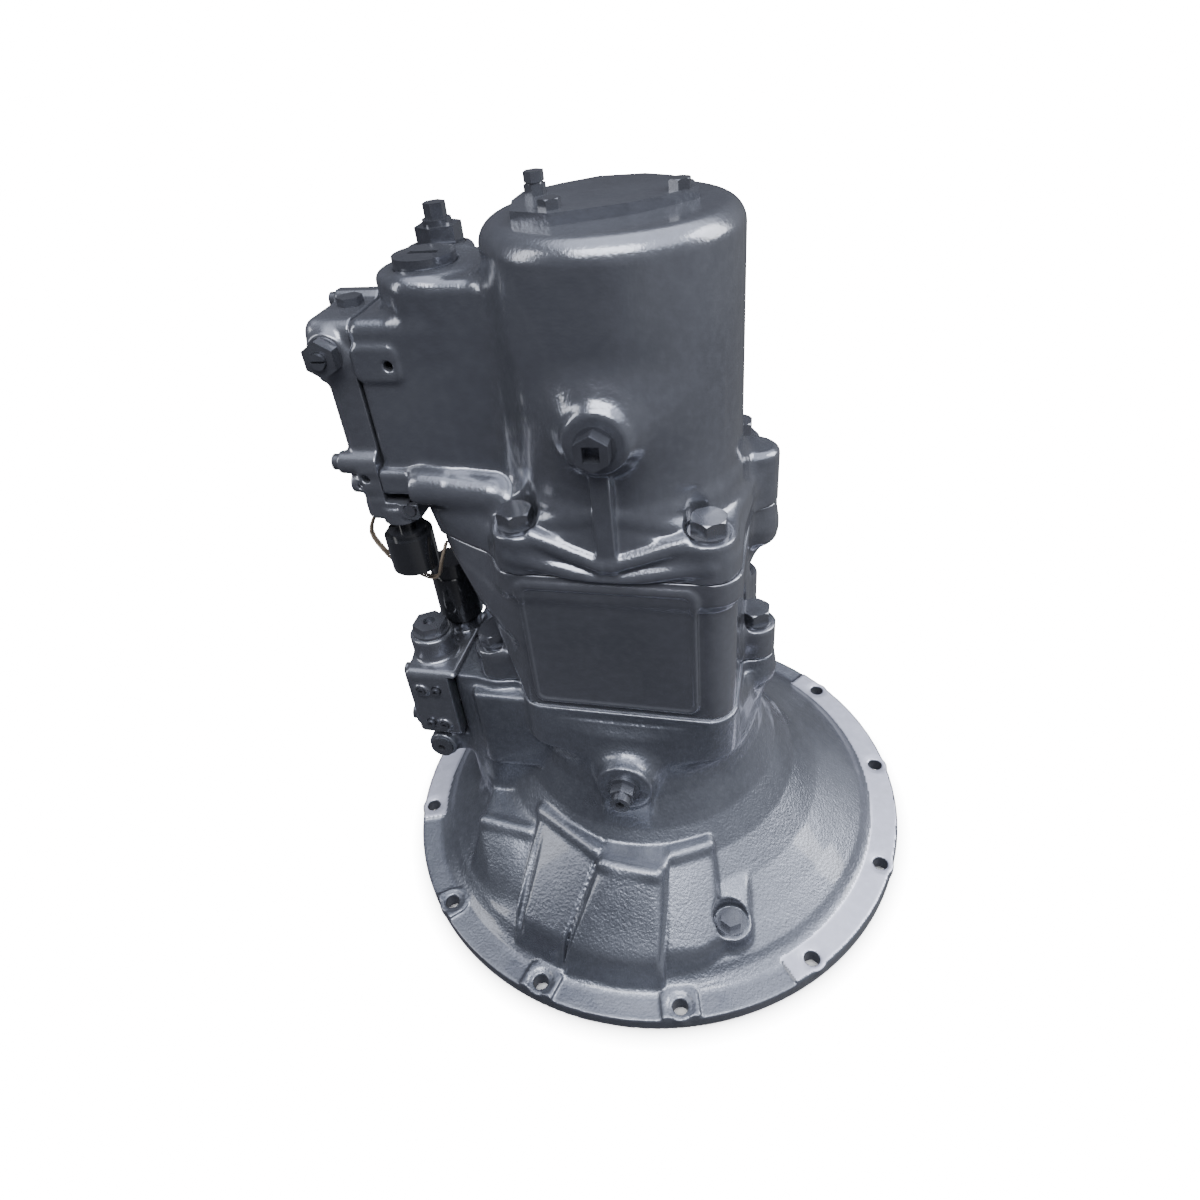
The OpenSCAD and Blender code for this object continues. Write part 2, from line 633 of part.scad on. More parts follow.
module barrel() {
    difference() {
        translate([0, 0, 150]) cylinder(r = 58, h = 58.9);
        translate([0, 0, 140]) cylinder(r = 18.02, h = 80);
        translate([0, 0, 149]) cylinder(r = 25, h = 36);
        for (k = [0 : pistons - 1]) rotate([0, 0, 360 * k / pistons + 20]) translate([piston_circle_r, 0, 0]) {
            translate([0, 0, 140]) cylinder(r = piston_r + 0.05, h = 58);
            translate([0, 0, 190]) cylinder(r = 7, h = 30);
        }
    }
}
module front_barrel() { color("silver") barrel(); }
module rear_barrel() { color("silver") to_rear() barrel(); }
module piston_set() {
    for (k = [0 : pistons - 1]) rotate([0, 0, 360 * k / pistons + 20]) translate([piston_circle_r, 0, 0])
        difference() {
            rotate_extrude() polygon([[0, 121], [3.6, 121], [6.4, 123.3], [7.4, 126], [6.4, 128.7], [5, 130.2],
                [5, 132], [8, 136], [piston_r, 138], [piston_r, 184], [0, 184]]);
            translate([0, 0, 150]) cylinder(r = 6.5, h = 40);
        }
}
module front_pistons() { color("lightgray") piston_set(); }
module rear_pistons() { color("lightgray") to_rear() piston_set(); }
module shoe_set() {
    for (k = [0 : pistons - 1]) rotate([0, 0, 360 * k / pistons + 20]) translate([piston_circle_r, 0, 0])
        rotate_extrude() polygon([[0, 118.3], [12.5, 118.3], [12.5, 120.8], [9.6, 121], [9.6, 127.6], [7, 128.4],
            [7.6, 126], [6.6, 123.1], [3.7, 120.8], [0, 120.8]]);
}
module front_shoes() { color("goldenrod") shoe_set(); }
module rear_shoes() { color("goldenrod") to_rear() shoe_set(); }
module retainer() {
    difference() {
        ring(24, 54, 121.1, 3);
        for (k = [0 : pistons - 1]) rotate([0, 0, 360 * k / pistons + 20]) translate([piston_circle_r, 0, 110])
            cylinder(r = 10, h = 20);
    }
}
module front_retainer() { color("gray") retainer(); }
module rear_retainer() { color("gray") to_rear() retainer(); }
// Stack of disc springs round the shaft
module spring_stack() {
    rotate_extrude() polygon(concat(
        [for (k = [0 : 6]) [k % 2 == 0 ? 18.6 : 19.4, 150.5 + 5 * k]],
        [for (k = [6 : -1 : 0]) [k % 2 == 0 ? 23.6 : 24.4, 153.5 + 5 * k]]));
}
module front_spring() { color("darkslategray") spring_stack(); }
module rear_spring() { color("darkslategray") to_rear() spring_stack(); }

front_case();
centre_block();
rear_case();
front_gasket();
rear_gasket();
cover_plate();
cover_bolts();
air_bleeder();
rear_case_bolts();
front_case_bolts();
upper_plug();
lower_plug();
case_plug();
rear_servo_cap();
servo_stop_nut();
servo_stop_bolt();
front_servo_cap();
regulator_body();
regulator_bolts();
regulator_locknut();
regulator_screw();
regulator_spool();
regulator_plugs();
upper_solenoid();
solenoid_wires();
lower_solenoid();
control_block();
control_bolts();
control_hex_plug();
control_plugs();
control_spool();
front_servo_piston();
rear_servo_piston();
front_swash();
rear_swash();
front_cradle();
rear_cradle();
front_valve_plate();
rear_valve_plate();
front_bearing();
rear_bearing();
shaft_seal();
seal_retainer();
input_shaft();
rear_shaft();
shaft_coupling();
impeller();
front_barrel();
rear_barrel();
front_pistons();
rear_pistons();
front_shoes();
rear_shoes();
front_retainer();
rear_retainer();
front_spring();
rear_spring();
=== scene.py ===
import json
import math
import bmesh
import bpy
import numpy as np
import openvdb
from mathutils import Matrix, Vector


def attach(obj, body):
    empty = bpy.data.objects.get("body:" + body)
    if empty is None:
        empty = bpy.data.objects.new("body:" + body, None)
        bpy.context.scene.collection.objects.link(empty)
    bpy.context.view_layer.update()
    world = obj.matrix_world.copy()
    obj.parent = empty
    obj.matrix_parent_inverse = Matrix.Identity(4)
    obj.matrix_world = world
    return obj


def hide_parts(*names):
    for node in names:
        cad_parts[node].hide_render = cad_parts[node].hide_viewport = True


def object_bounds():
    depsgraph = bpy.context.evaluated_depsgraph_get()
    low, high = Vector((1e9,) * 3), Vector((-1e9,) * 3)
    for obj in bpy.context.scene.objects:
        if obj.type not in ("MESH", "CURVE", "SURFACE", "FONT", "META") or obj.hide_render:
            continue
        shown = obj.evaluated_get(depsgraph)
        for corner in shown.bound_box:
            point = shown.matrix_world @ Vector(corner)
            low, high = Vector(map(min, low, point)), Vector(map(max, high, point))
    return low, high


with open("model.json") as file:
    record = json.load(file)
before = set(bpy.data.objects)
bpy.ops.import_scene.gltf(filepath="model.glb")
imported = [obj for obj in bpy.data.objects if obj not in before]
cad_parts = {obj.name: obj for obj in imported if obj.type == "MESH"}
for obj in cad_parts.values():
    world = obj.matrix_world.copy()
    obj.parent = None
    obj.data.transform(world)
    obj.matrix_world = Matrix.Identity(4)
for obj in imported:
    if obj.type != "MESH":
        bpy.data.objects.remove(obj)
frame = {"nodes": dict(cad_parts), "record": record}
cad_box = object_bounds()
nodes = frame["nodes"]
MM = 0.001

# ------------------------------------------------------------------ camera
cam_data = bpy.data.cameras.new("camera")
cam_data.lens = 24.36
cam_data.sensor_width = 36.0
cam_data.shift_x = 0.0051
cam_data.shift_y = 0.0009
cam_data.clip_start = 0.01
cam_data.clip_end = 50.0
camera = bpy.data.objects.new("camera", cam_data)
bpy.context.collection.objects.link(camera)
back = Vector((0.2308, -0.7612, 0.6060)).normalized()
right = Vector((0.9710, 0.2202, -0.0933))
right = (right - back * right.dot(back)).normalized()
up = back.cross(right)
camera.matrix_world = Matrix(((right.x, up.x, back.x, 0.1251), (right.y, up.y, back.y, -0.5479),
                              (right.z, up.z, back.z, 0.6943), (0, 0, 0, 1)))
bpy.context.scene.camera = camera


# ------------------------------------------------------------------ helpers
def link(obj):
    bpy.context.collection.objects.link(obj)
    return obj


def catmull(points, per):
    """Points on a smooth curve through the given points."""
    p = [np.array(q, float) for q in points]
    out = []
    for i in range(len(p) - 1):
        p0, p1, p2, p3 = p[max(0, i - 1)], p[i], p[i + 1], p[min(len(p) - 1, i + 2)]
        for k in range(per):
            u = k / per
            out.append(0.5 * (2 * p1 + (p2 - p0) * u + (2 * p0 - 5 * p1 + 4 * p2 - p3) * u ** 2
                              + (3 * p1 - p0 - 3 * p2 + p3) * u ** 3))
    out.append(p[-1])
    return out


# ------------------------------------------------------------------ wires (the cords come first)
WIRE_ROUTE = [(-204, -14, 364), (-213, -23, 358), (-220, -28, 342), (-212, -30, 325), (-204, -26, 309),
              (-192, -24, 301), (-176, -31, 300), (-163, -37, 306), (-157, -38, 321), (-152.5, -30, 336)]
WIRE_RADIUS = 0.0012
WIRE_SPACING = -3.4
wires = []
for index, shift in enumerate((0.0, WIRE_SPACING)):
    pts = [q * MM + np.array([0, shift * MM, 0]) for q in catmull(WIRE_ROUTE, 3)]
    curve = bpy.data.curves.new(f"lead_wire_{index + 1}", "CURVE")
    curve.dimensions = "3D"
    # the bevel is one metre and each point scales it down, so the curve's own box stays true
    curve.bevel_depth = 1.0
    curve.bevel_resolution = 3
    curve.use_fill_caps = True
    spline = curve.splines.new("POLY")
    spline.points.add(len(pts) - 1)
    for i, q in enumerate(pts):
        spline.points[i].co = (q[0], q[1], q[2], 1)
        spline.points[i].radius = WIRE_RADIUS
    wire = link(bpy.data.objects.new(f"lead_wire_{index + 1}", curve))
    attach(wire, "housing")
    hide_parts("solenoid_wires")
    wires.append(wire)


# ------------------------------------------------------------------ cast shapes as distance fields
# A shape is (low corner, high corner, distance function), in millimetres, negative inside.
def along(axis, x, y, z):
    """Two coordinates across an axis, and the one along it."""
    return {"x": (y, z, x), "y": (x, z, y), "z": (x, y, z)}[axis]


def place(axis, u, v, w):
    """The corner (x, y, z) for coordinates across and along an axis."""
    return {"x": (w, u, v), "y": (u, w, v), "z": (u, v, w)}[axis]


def rounded(a, b):
    """The distance to a square corner from the distances to its two sides."""
    return np.minimum(np.maximum(a, b), 0) + np.sqrt(np.maximum(a, 0) ** 2 + np.maximum(b, 0) ** 2)


def slab(flat, rise, edge):
    """One solid from a distance in its plane and one along it, with its edges rounded."""
    return rounded(flat + edge, rise + edge) - edge


def outline(points):
    """Signed distance to a closed polygon."""
    pts = [np.array(p, np.float32) for p in points]

    def at(u, v):
        best, inside = None, False
        for a, b in zip(pts, pts[1:] + pts[:1]):
            e = b - a
            t = np.clip(((u - a[0]) * e[0] + (v - a[1]) * e[1]) / float(e @ e), 0, 1)
            d = (u - a[0] - t * e[0]) ** 2 + (v - a[1] - t * e[1]) ** 2
            best = d if best is None else np.minimum(best, d)
            if abs(e[1]) > 1e-6:
                inside = inside ^ (((a[1] > v) != (b[1] > v)) & (u < e[0] * (v - a[1]) / e[1] + a[0]))
        return np.where(inside, -1, 1) * np.sqrt(best)
    return at


def prism(axis, points, low, high, edge=2.0, grow=0.0):
    """An outline, grown by an amount, drawn out along an axis."""
    flat = outline(points)
    us, vs = [p[0] for p in points], [p[1] for p in points]

    def at(x, y, z):
        u, v, w = along(axis, x, y, z)
        return slab(flat(u, v) - grow, np.abs(w - (low + high) / 2) - (high - low) / 2, edge)
    low_corner = place(axis, min(us) - grow, min(vs) - grow, low)
    high_corner = place(axis, max(us) + grow, max(vs) + grow, high)
    return low_corner, high_corner, at


def block(low, high, corner=6.0, edge=3.0, axis="z"):
    """A box with rounded corners across its axis and rounded end edges."""
    c = [(a + b) / 2 for a, b in zip(low, high)]
    h = [(b - a) / 2 for a, b in zip(low, high)]

    def at(x, y, z):
        u, v, w = along(axis, x - c[0], y - c[1], z - c[2])
        hu, hv, hw = along(axis, *h)
        a, b = np.abs(u) - (hu - corner), np.abs(v) - (hv - corner)
        flat = rounded(a, b) - corner
        return slab(flat, np.abs(w) - hw, edge)
    return low, high, at


def rod(axis, centre, low, high, r, edge=1.0, top_r=None):
    """A round bar or cone along an axis."""
    slope = 0.0 if top_r is None else (r - top_r) / (high - low)
    m = r if top_r is None else max(r, top_r)

    def at(x, y, z):
        u, v, w = along(axis, x, y, z)
        flat = np.sqrt((u - centre[0]) ** 2 + (v - centre[1]) ** 2) - r
        flat = flat + slope * np.clip(w - low, 0, high - low)
        rise = np.abs(w - (low + high) / 2) - (high - low) / 2
        return slab(flat / math.sqrt(1 + slope * slope), rise, edge)
    low_corner = place(axis, centre[0] - m, centre[1] - m, low)
    high_corner = place(axis, centre[0] + m, centre[1] + m, high)
    return low_corner, high_corner, at


def turned(profile):
    """A shape turned about the shaft axis from an outline in radius and height."""
    flat = outline(profile)
    m = max(p[0] for p in profile)
    zs = [p[1] for p in profile]

    def at(x, y, z):
        r = np.sqrt(x * x + y * y).astype(np.float32)
        steps = np.arange(0, float(r.max()) + 2, 0.5, dtype=np.float32)
        table = flat(steps[:, None], z.reshape(1, -1).astype(np.float32))
        return np.stack([np.interp(r[:, :, 0], steps, table[:, k]) for k in range(table.shape[1])], 2)
    return (-m, -m, min(zs)), (m, m, max(zs)), at


def capsule(a, b, ra, rb=None):
    """A round-ended bar between two points, from one radius to another."""
    rb = ra if rb is None else rb
    e = [q - p for p, q in zip(a, b)]
    n = sum(q * q for q in e)
    m = max(ra, rb)

    def at(x, y, z):
        t = np.clip(((x - a[0]) * e[0] + (y - a[1]) * e[1] + (z - a[2]) * e[2]) / n, 0, 1)
        off = [q - p - t * d for q, p, d in zip((x, y, z), a, e)]
        return np.sqrt(off[0] ** 2 + off[1] ** 2 + off[2] ** 2) - ra - t * (rb - ra)
    return [min(p, q) - m for p, q in zip(a, b)], [max(p, q) + m for p, q in zip(a, b)], at


def beyond(low, high, axis, limit, side=1):
    """What lies past a plane inside a box: above it where side is 1, below it where side is -1."""
    def at(x, y, z):
        return side * (limit - along(axis, x, y, z)[2]) + 0 * (x + y + z)
    return low, high, at


def smooth_min(a, b, k):
    """The smaller of two distances, with a fillet of about k where they meet."""
    h = np.maximum(k - np.abs(a - b), 0) / k
    return np.minimum(a, b) - h * h * k * 0.25


def solid(points, edge=4.0):
    """The convex solid around some points, with its edges rounded."""
    bm = bmesh.new()
    for p in points:
        bm.verts.new(p)
    bmesh.ops.convex_hull(bm, input=bm.verts)
    planes = {}
    for face in bm.faces:
        n = face.normal
        planes[tuple(round(q, 2) for q in n) + (round(n.dot(face.verts[0].co), 0),)] = (
            n.copy(), n.dot(face.verts[0].co))
    bm.free()

    def at(x, y, z):
        out = None
        for n, c in planes.values():
            d = (n[0] * x + n[1] * y + n[2] * z - c).astype(np.float32)
            out = d if out is None else -smooth_min(-out, -d, edge)
        return out
    cols = list(zip(*points))
    return [min(c) for c in cols], [max(c) for c in cols], at


class Casting:
    """A cast body built up and cut away on a grid of distances."""
    FAR = 30.0

    def __init__(self, low, high, step):
        self.low, self.step = np.array(low, np.float32), step
        self.shape = [int(math.ceil((b - a) / step)) + 1 for a, b in zip(low, high)]
        self.field = np.full(self.shape, self.FAR, np.float32)

    def window(self, shape, reach):
        """The part of the grid near a shape, and the shape's distances there."""
        start = [max(0, int((a - reach - l) / self.step)) for a, l in zip(shape[0], self.low)]
        stop = [min(n, int(math.ceil((b + reach - l) / self.step)) + 1)
                for b, l, n in zip(shape[1], self.low, self.shape)]
        axes = [l + self.step * np.arange(a, b, dtype=np.float32)
                for l, a, b in zip(self.low, start, stop)]
        part = tuple(slice(a, b) for a, b in zip(start, stop))
        return part, shape[2](axes[0][:, None, None], axes[1][None, :, None], axes[2][None, None, :])

    def add(self, shape, blend=4.0):
        part, d = self.window(shape, blend + 10)
        self.field[part] = smooth_min(self.field[part], d, blend)

    def cut(self, shape, blend=1.0):
        part, d = self.window(shape, blend + 3)
        self.field[part] = -smooth_min(-self.field[part], d, blend)

    def mesh(self):
        """The surface where the distance is nought, in metres."""
        grid = openvdb.FloatGrid(self.FAR)
        grid.copyFromArray(np.ascontiguousarray(self.field))
        grid.transform = openvdb.createLinearTransform(voxelSize=self.step)
        points, _, quads = grid.convertToPolygons()
        me = bpy.data.meshes.new("casting")
        me.vertices.add(len(points))
        me.vertices.foreach_set("co", ((points + self.low) * MM).astype(np.float32).ravel())
        me.loops.add(4 * len(quads))
        me.loops.foreach_set("vertex_index", quads.astype(np.int32).ravel())
        me.polygons.add(len(quads))
        me.polygons.foreach_set("loop_start", np.arange(0, 4 * len(quads), 4, dtype=np.int32))
        me.polygons.foreach_set("loop_total", np.full(len(quads), 4, np.int32))
        me.update(calc_edges=True)
        me.validate()
        me.shade_smooth()
        return me


def piece(name, me, material, replaces):
    """A finished casting in the place of a CAD node."""
    me.name = name
    obj = link(bpy.data.objects.new(name, me))
    obj.data.materials.clear()
    obj.data.materials.append(material)
    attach(obj, "housing")
    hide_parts(replaces)
    return obj


# ------------------------------------------------------------------ places, in millimetres, as in part.scad
SEAM_A, SEAM_B, GASKET, TOP = 215.0, 353.0, 0.8, 580.0
REAR_BOLTS = [(70, -75), (-70, -75), (76, 74), (-72, 74)]
EAR_BOLTS = [(99, 5), (-120, -47), (78, 78), (-88, 66)]
SERVO_X = -134
SERVO_BORE_R = 22.6
SPIGOT_R = 75.6
BOLT_CIRCLE_R = 233.35
LOWER_PLUG = (2, 154)
UPPER_PLUG = (2, 462)
CASE_PLUG = (96, -160)
HEX_PLUG = (-186, -36)
LOWER_SOLENOID = (-172, 4)
UPPER_SOLENOID = (-183, -34)
ADJUSTING_SCREW = (-208, 498)
SERVO_STOP = (-145, 58)
SUCTION_PORT = (0, 284)
DELIVERY_X = 56
HOLES = [math.radians(15 + 30 * k) for k in range(12)]


# ------------------------------------------------------------------ castings
def terrace(levels, edge=3.5):
    """A sloping panel of the front bulge from its outlines at several heights."""
    return solid([(x, y, z) for z, pts in levels for x, y in pts], edge)


def on_rim(r, angle, side=0.0):
    """A point at a radius, shifted sideways from a spoke."""
    return r * math.cos(angle) - side * math.sin(angle), r * math.sin(angle) + side * math.cos(angle)


def sector(a0, a1, inner, outer):
    """The outline of a piece of a ring, angles in degrees."""
    steps = np.radians(np.linspace(a0, a1, 24))
    return [(outer * math.cos(a), outer * math.sin(a)) for a in steps] + \
        [(inner * math.cos(a), inner * math.sin(a)) for a in steps[::-1]]


# pads round some flange holes, along and across the spoke, and lands between angles in degrees
SQUARE_PAD = [(243, -16), (243, 16), (222, 16), (217, 9), (217, -9), (222, -16)]
POINTED_PAD = [(243, -15), (243, 15), (228, 15), (206, 2), (228, -13)]
LANDS = [(-51, 52), (171, 199)]


def rim_pad(points, angle, top):
    """A raised pad on the flange, on the spoke at an angle."""
    return prism("z", [on_rim(r, angle, w) for r, w in points], 6, top, 1.0)


def front_case():
    cast = Casting((-249, -249, -9), (249, 249, 240), 1.5)
    cast.add(turned([(0, 5), (222, 5), (218, 16), (208, 26), (188, 40), (164, 58), (140, 80), (122, 104),
                  (109, 132), (101, 165), (96, 190), (0, 190)]))
    cast.add(rod("z", (0, 0), 0, 14, 244.2, 1.5), 8)
    cast.add(rod("z", (0, 0), -5, 4, 223.8, 0.8), 0.5)
    cast.add(block((-92, -92, 168), (92, 92, 226), 24, 3), 26)
    # terraces of the front bulge, from left to right
    cast.add(terrace([(74, [(-146, -60), (-144, -110), (-130, -116), (-90, -116), (-70, -60)]),
                   (43, [(-154, -60), (-150, -130), (-128, -152), (-86, -164), (-70, -60)]),
                   (10, [(-160, -60), (-156, -144), (-128, -170), (-88, -186), (-70, -60)])]), 5)
    cast.add(terrace([(93, [(-84, -60), (-83, -106), (-67, -110), (-20, -142), (-15, -60)]),
                   (44, [(-84, -60), (-94, -183), (-43, -203), (-15, -60)]),
                   (8, [(-84, -60), (-92, -202), (-44, -216), (-15, -60)])], 3), 2)
    cast.add(terrace([(93, [(-18, -60), (-18, -149), (-3, -160), (31, -158), (41, -143), (43, -60)]),
                   (44, [(-18, -60), (-41, -207), (8, -211), (45, -206), (43, -60)]),
                   (8, [(-18, -60), (-43, -219), (8, -223), (47, -218), (43, -60)])], 3), 1)
    cast.add(terrace([(93, [(38, -60), (40, -136), (57, -127), (74, -118), (76, -60)]),
                   (44, [(38, -60), (44, -199), (74, -190), (90, -178), (90, -120), (76, -60)]),
                   (8, [(38, -60), (45, -213), (80, -201), (94, -190), (92, -120), (76, -60)])], 3), 1)
    cast.add(terrace([(60, [(70, -110), (86, -142), (108, -132), (104, -100)]),
                   (43, [(70, -110), (88, -176), (112, -164), (112, -100)]),
                   (10, [(70, -110), (92, -188), (114, -172), (114, -100)])]), 4)
    for a, b in (((-82, -104, 90), (-24, -139, 90)), ((-14, -151, 90), (32, -154, 90)),
                 ((44, -133, 90), (72, -118, 90)), ((-140, -110, 71), (-94, -116, 71))):
        cast.add(capsule(a, b, 6), 5)
    # grooves between the panels and a step under the servo housing
    cast.cut(capsule((-80, -122, 90), (-90, -207, 22), 3.5), 3)
    cast.cut(capsule((-22, -158, 88), (-42, -214, 34), 2.2), 3)
    cast.cut(capsule((42, -152, 88), (44, -214, 34), 3.0), 3)
    # drain plug boss and its rib
    cast.add(rod("y", LOWER_PLUG, -119, -50, 24, 2), 14)
    cast.add(block((-20, -117, 60), (24, -50, 150), 5, 4), 5)
    # servo housing of the front pump
    cast.add(block((-164, -64, 34), (-60, 56, 226), 12, 6), 12)
    cast.add(block((-150, -70, 52), (-70, 60, 205), 12, 8), 8)
    cast.add(block((-141, -78, 117), (-70, 40, 206), 9, 4), 3)
    for x, y in (EAR_BOLTS[0], EAR_BOLTS[2], EAR_BOLTS[3]):
        cast.add(capsule((x, y, 196), (x * 0.95, y * 0.95, 150), 18, 8), 14)
        cast.add(rod("z", (x, y), 186, 226, 18, 2), 8)
    cast.add(rod("z", EAR_BOLTS[1], 176, 226, 19, 2), 8)
    # boss of the small plug, lug beside the control block
    cast.add(rod("z", CASE_PLUG, 10, 44, 17, 1.5), 5)
    cast.add(rod("y", (-190, 120), -66, -22, 14, 2), 3)
    cast.add(block((-190, -58, 108), (-150, -24, 133), 3, 3), 6)
    for a in HOLES:
        c = (BOLT_CIRCLE_R * math.cos(a), BOLT_CIRCLE_R * math.sin(a))
        cast.add(rod("z", c, 6, 16, 12, 1), 2)
    for a in (HOLES[8], HOLES[9]):
        cast.add(rim_pad(SQUARE_PAD, a, 17.5), 1.5)
    cast.add(rim_pad(POINTED_PAD, HOLES[7], 17), 1.5)
    # machined lands on the rim
    for a0, a1 in LANDS:
        cast.add(prism("z", sector(a0, a1, 217.0, 243.6), 6, 16.4, 0.6), 0.6)
    # bell inside, pump chamber, servo bore
    cast.cut(turned([(0, -9), (212, -9), (210, 4), (196, 18), (172, 36), (146, 52), (126, 58), (0, 58)]), 4)
    cast.cut(rod("z", (0, 0), 84, 260, 78, 0.5))
    cast.cut(rod("z", (0, 0), 66, 96, 40, 0.5))
    cast.cut(rod("z", (0, 0), 40, 80, 31, 0.5))
    cast.cut(rod("z", (SERVO_X, 0), 74, 260, SERVO_BORE_R, 0.5))
    cast.cut(block((SERVO_X, -13.5, 107), (-60, 13.5, 185), 2, 1))
    # the flat joint at the top
    cast.cut(beyond((-249, -249, 200), (249, 249, 240), "z", SEAM_A - GASKET), 0.4)
    for a in HOLES:
        c = (BOLT_CIRCLE_R * math.cos(a), BOLT_CIRCLE_R * math.sin(a))
        cast.cut(rod("z", c, -10, 40, 6.5, 0.3), 0.5)
        cast.cut(rod("z", c, 16, 40, 11, 1), 1)
    for c in EAR_BOLTS:
        cast.cut(rod("z", c, 184, 250, 7.8, 0.3), 0.5)
    cast.cut(rod("y", LOWER_PLUG, -130, -70, 8.3, 0.3))
    cast.cut(rod("z", CASE_PLUG, 36, 80, 6.3, 0.3))
    cast.cut(rod("z", CASE_PLUG, 44, 80, 15.5, 1))
    cast.cut(rod("y", (-190, 120), -80, -46, 7.3, 0.3))
    return cast.mesh()


def centre_block():
    cast = Casting((-158, -100, 212), (116, 108, 391), 1.2)
    cast.add(block((-90, -90, 205), (90, 90, 360), 22, 3))
    cast.add(rod("z", (0, 0), 300, 388, SPIGOT_R, 1), 1)
    cast.add(block((-72, -95, 224), (63, -60, 346), 8, 2, axis="y"), 1)
    cast.cut(block((-68, -110, 228), (59, -93.6, 342), 6, 0.6, axis="y"), 0.6)
    # band and bosses under the rear case
    cast.add(block((-93, -91.5, 331), (93, 91, 360), 20, 4), 10)
    cast.add(rod("z", (96, 28), 316, 360, 16.5, 5), 12)
    cast.add(capsule((96, 28, 330), (84, 24, 292), 15, 6), 12)
    # ears for the bolts down into the front case
    for x, y in EAR_BOLTS:
        cast.add(rod("z", (x, y), 205, 245, 18.5, 3), 10)
        cast.add(capsule((x * 0.93, y, 236), (x * 0.84, y * 0.96, 300), 15, 8), 10)
    cast.add(block((-120, -64, 205), (-80, -30, 245), 6, 3), 6)
    # fin down the left front corner
    cast.add(solid([(-127, -50, 327), (-76, -86, 313), (-80, -92, 214), (-100, -66, 250), (-70, -60, 214),
                 (-70, -50, 327)], 3), 4)
    # slanted shoulder on the left
    cast.add(solid([(-150, -42, 360), (-150, 30, 360), (-148, -42, 330), (-148, 30, 330), (-60, -84, 360),
                 (-60, 60, 360), (-92, -84, 286), (-92, 20, 286), (-60, -84, 280), (-60, 20, 280),
                 (-120, -58, 296), (-128, -44, 300), (-128, 20, 300)], 8), 12)
    # suction and delivery port faces
    cast.add(block((-50, 50, 234), (50, 104, 334), 10, 2, axis="y"), 8)
    cast.add(block((34, 50, 218), (72, 103, 349), 6, 2, axis="y"), 6)
    cast.cut(rod("z", (0, 0), 200, 400, 26, 0.5))
    cast.cut(rod("z", (0, 0), 264, 304, 58, 3))
    cast.cut(rod("y", SUCTION_PORT, 40, 120, 32, 0.5))
    cast.cut(rod("y", SUCTION_PORT, 28, 62, 36, 0.5))
    for z in (231, 335):
        cast.cut(rod("y", (DELIVERY_X, z), -31, 120, 9, 0.5))
    for x in (-38.5, 38.5):
        for z in (248, 320):
            cast.cut(rod("y", (x, z), 84, 124, 5.1, 0.3), 0.5)
    for c in REAR_BOLTS:
        cast.cut(rod("z", c, 312, 372, 7.9, 0.3), 0.5)
    for c in EAR_BOLTS:
        cast.cut(rod("z", c, 200, 260, 8.8, 0.3), 0.5)
        cast.cut(rod("z", c, 245, 293, 16.5, 1.5), 2)
    cast.cut(beyond((-160, -100, 190), (120, 110, SEAM_A), "z", SEAM_A, -1), 0.4)

    def outside_spigot(x, y, z):
        return np.maximum(SEAM_B - GASKET - z, SPIGOT_R - np.sqrt(x * x + y * y))
    cast.cut(((-160, -100, 350), (120, 110, 392), outside_spigot), 0.4)
    return cast.mesh()


